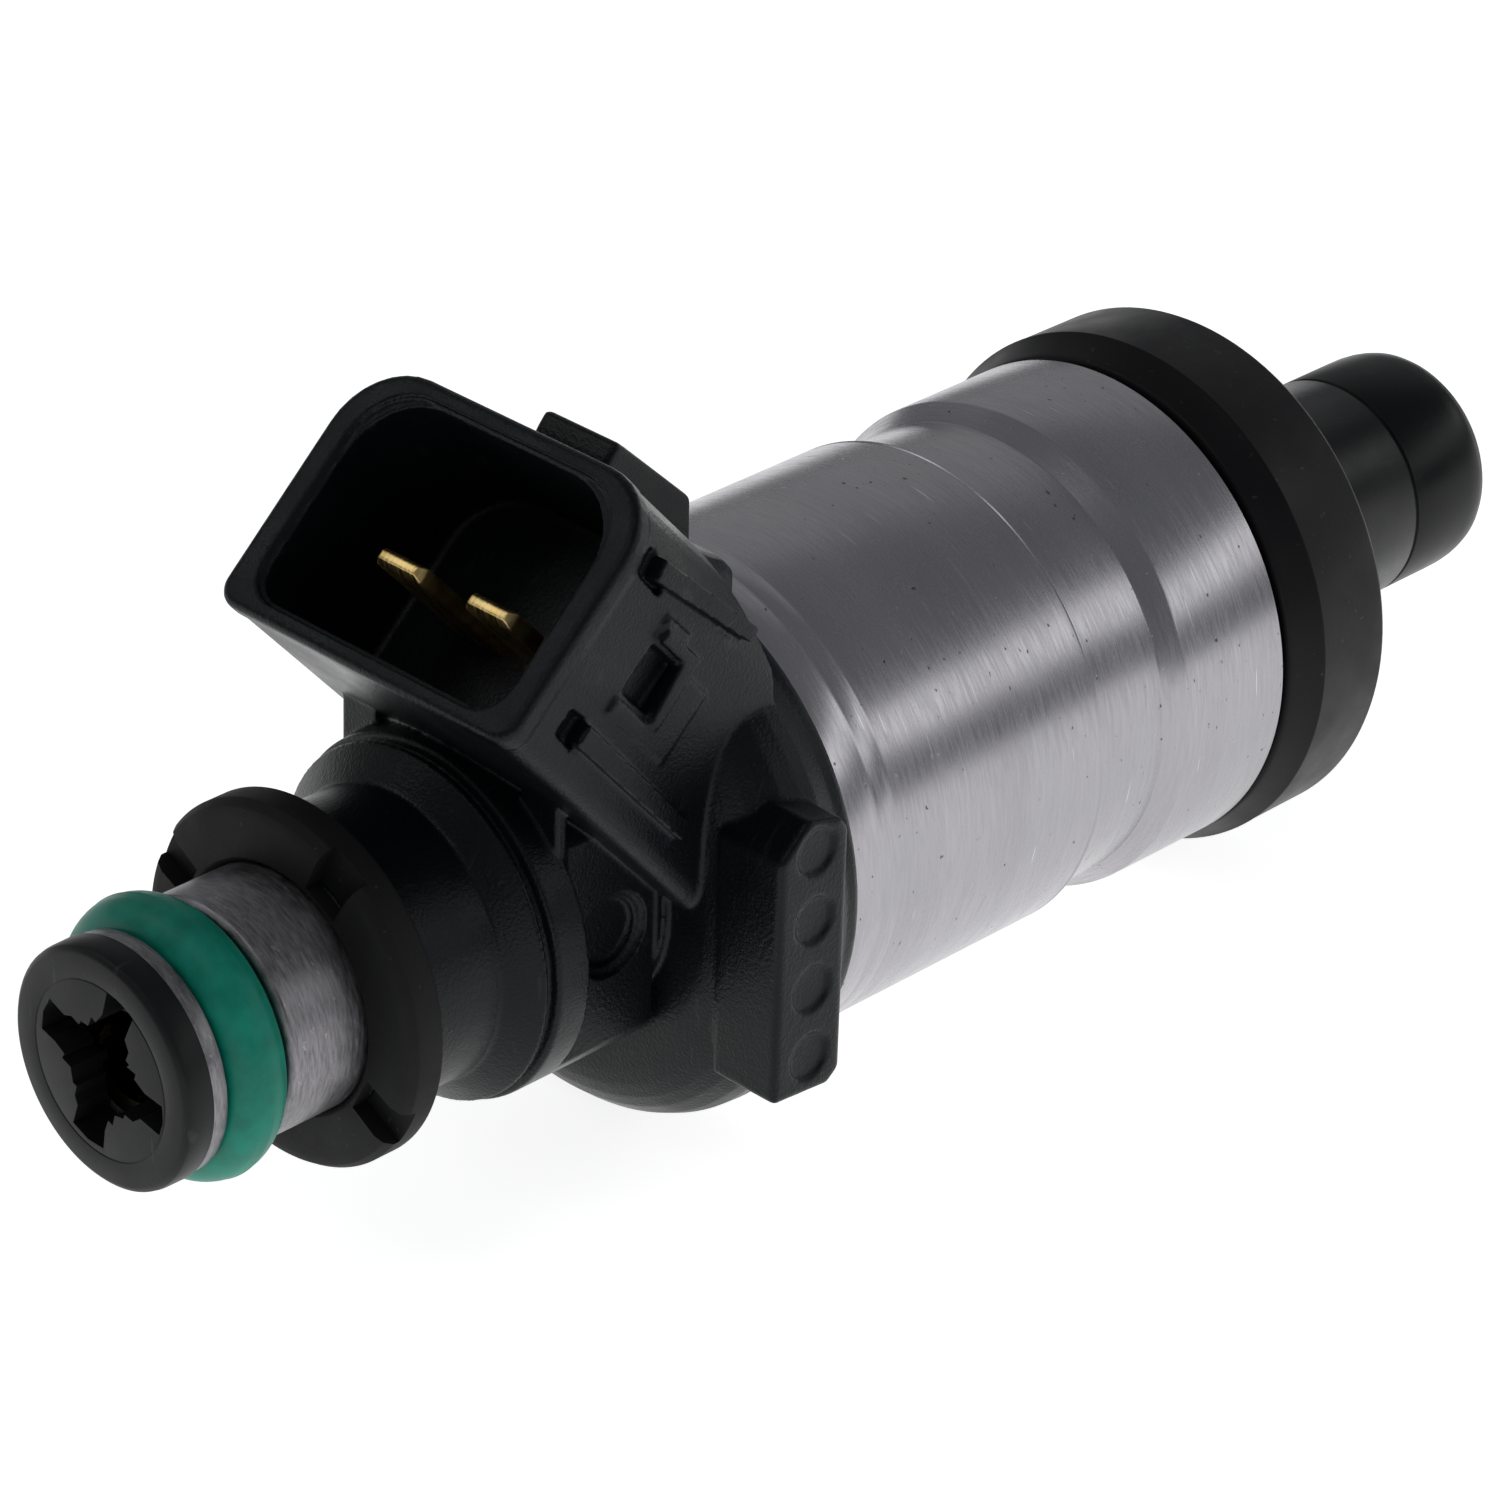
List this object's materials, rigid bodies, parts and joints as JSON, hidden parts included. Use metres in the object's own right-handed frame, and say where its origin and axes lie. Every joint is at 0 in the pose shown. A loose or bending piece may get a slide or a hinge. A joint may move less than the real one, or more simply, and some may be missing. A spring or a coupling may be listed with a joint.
{
  "type": "top-feed solenoid injector with an angled two-pin plug",
  "caption": "Top-feed petrol fuel injector with a black moulded plug, a turned steel coil housing, a green inlet seal and a black manifold seal",
  "frame": {"origin": "on the injector's axis, in the middle of the manifold seal ring", "axes": "+X along the axis towards the nozzle, +Z towards the plug's side"},
  "size_m": [0.0746, 0.024, 0.0311],
  "materials": {
    "black_plastic": "satin",
    "nozzle_plastic": "satin",
    "bobbin_plastic": "satin",
    "housing_steel": "turned",
    "tube_steel": "turned",
    "valve_steel": "ground",
    "mesh_steel": "bright",
    "green_rubber": "satin",
    "black_rubber": "matte",
    "brass": "satin",
    "copper": "enamelled"
  },
  "bodies": {
    "root": {"filter_cap": "black_plastic", "filter_ferrule": "brass", "filter_basket": "black_plastic", "filter_mesh": "mesh_steel", "inlet_tube": "tube_steel", "inlet_o_ring": "green_rubber", "cushion_ring": "black_rubber", "plug_body": "black_plastic", "terminal_left": "brass", "terminal_right": "brass", "back_plate": "tube_steel", "steel_housing": "housing_steel", "coil_bobbin": "bobbin_plastic", "coil_winding": "copper", "front_coil_seal": "black_rubber", "rear_coil_seal": "black_rubber", "coil_lead_left": "copper", "coil_lead_right": "copper", "adjusting_tube": "brass", "return_spring": "mesh_steel", "spacer_ring": "tube_steel", "stop_plate": "tube_steel", "valve_body": "tube_steel", "valve_body_seal": "black_rubber", "orifice_plate": "mesh_steel", "nozzle_cap": "black_plastic", "nozzle_end_ring": "nozzle_plastic", "manifold_seal": "black_rubber"},
    "valve": {"armature": "valve_steel", "needle": "valve_steel"}
  },
  "joints": [
    {"name": "needle_lift", "type": "slide", "parent": "root", "child": "valve", "axis": [-1, 0, 0], "range_m": [0, 0.00012], "stiffness_N_per_m": 1500, "springref_m": -0.002}
  ]
}
